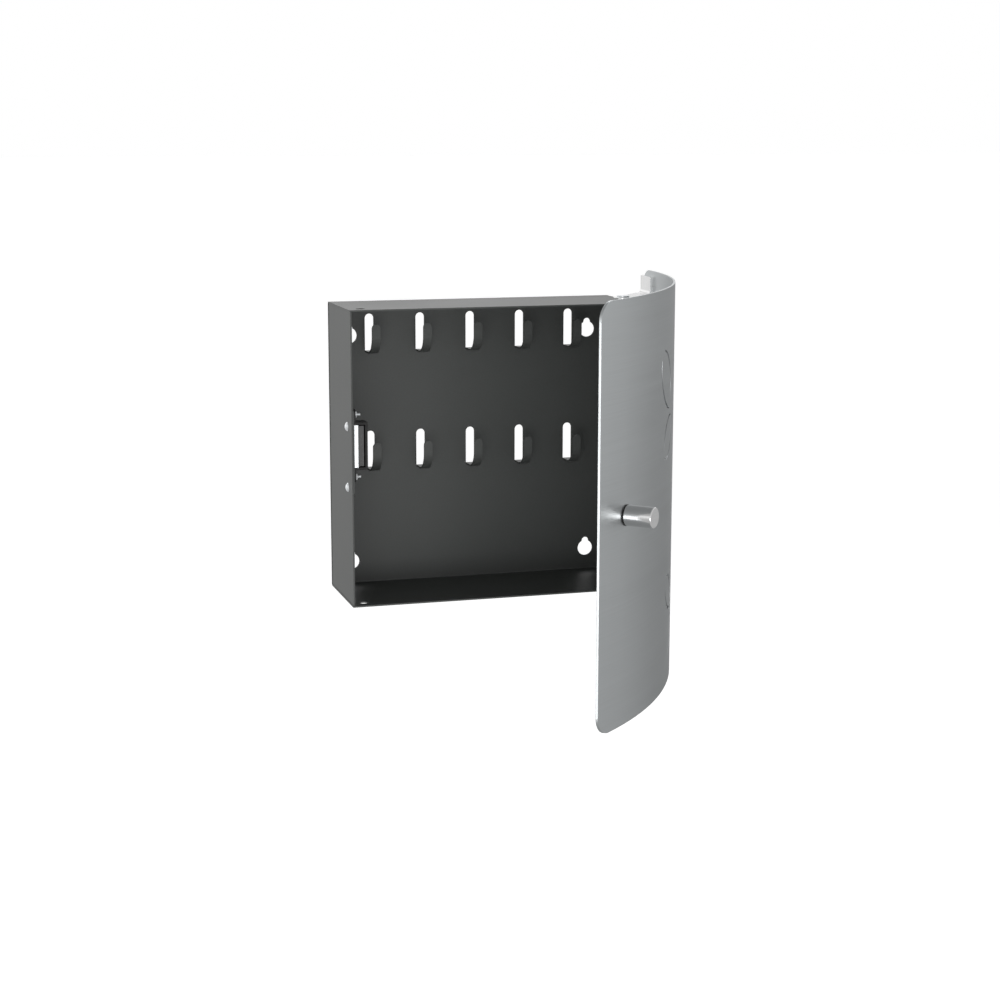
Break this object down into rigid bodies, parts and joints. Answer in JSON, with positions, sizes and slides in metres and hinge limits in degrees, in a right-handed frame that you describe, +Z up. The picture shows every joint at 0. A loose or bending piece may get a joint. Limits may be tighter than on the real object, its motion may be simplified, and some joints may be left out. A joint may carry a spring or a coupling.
{
  "type": "key cabinet",
  "caption": "Wall-mounted key cabinet: open steel box with rows of key hooks and a curved brushed stainless door on pin hinges, shown open.",
  "frame": {"origin": "centre of the four wall keyholes, on the rear face of the back panel", "axes": "+X to the right, +Y into the wall, +Z up; the door opens towards -Y about upright pins at the right front corner"},
  "size_m": [0.2102, 0.2574, 0.244],
  "materials": {
    "black_steel": "matt powder coat on folded steel sheet",
    "brushed_stainless": "level brush lines, satin",
    "polished_steel": "polished",
    "zinc_steel": "bright zinc plate",
    "black_plastic": "moulded",
    "ferrite": "pressed and ground"
  },
  "bodies": {
    "cabinet": {"folded_pan": "black_steel", "left_wall": "black_steel", "right_wall": "black_steel", "upper_hooks": "black_steel", "lower_hooks": "black_steel", "catch_bracket": "black_steel", "catch_rivets": "zinc_steel", "catch_studs": "zinc_steel", "catch_nuts": "zinc_steel", "catch_housing": "black_plastic", "catch_magnet": "ferrite", "catch_pole": "zinc_steel", "upper_bush": "black_plastic", "lower_bush": "black_plastic"},
    "door": {"door_panel": "brushed_stainless", "upper_hinge_bracket": "polished_steel", "lower_hinge_bracket": "polished_steel", "upper_hinge_pin": "zinc_steel", "lower_hinge_pin": "zinc_steel", "pin_clips": "zinc_steel", "knob": "polished_steel", "knob_ring": "black_plastic", "knob_screw": "zinc_steel", "knob_washer": "zinc_steel", "strike_bracket": "zinc_steel"}
  },
  "joints": [
    {"name": "door_hinge", "type": "hinge", "parent": "cabinet", "child": "door", "pos_m": [0.0865, -0.0585, 0.0035], "axis": [0, 0, 1], "range_deg": [-64.5, 20.5]}
  ]
}
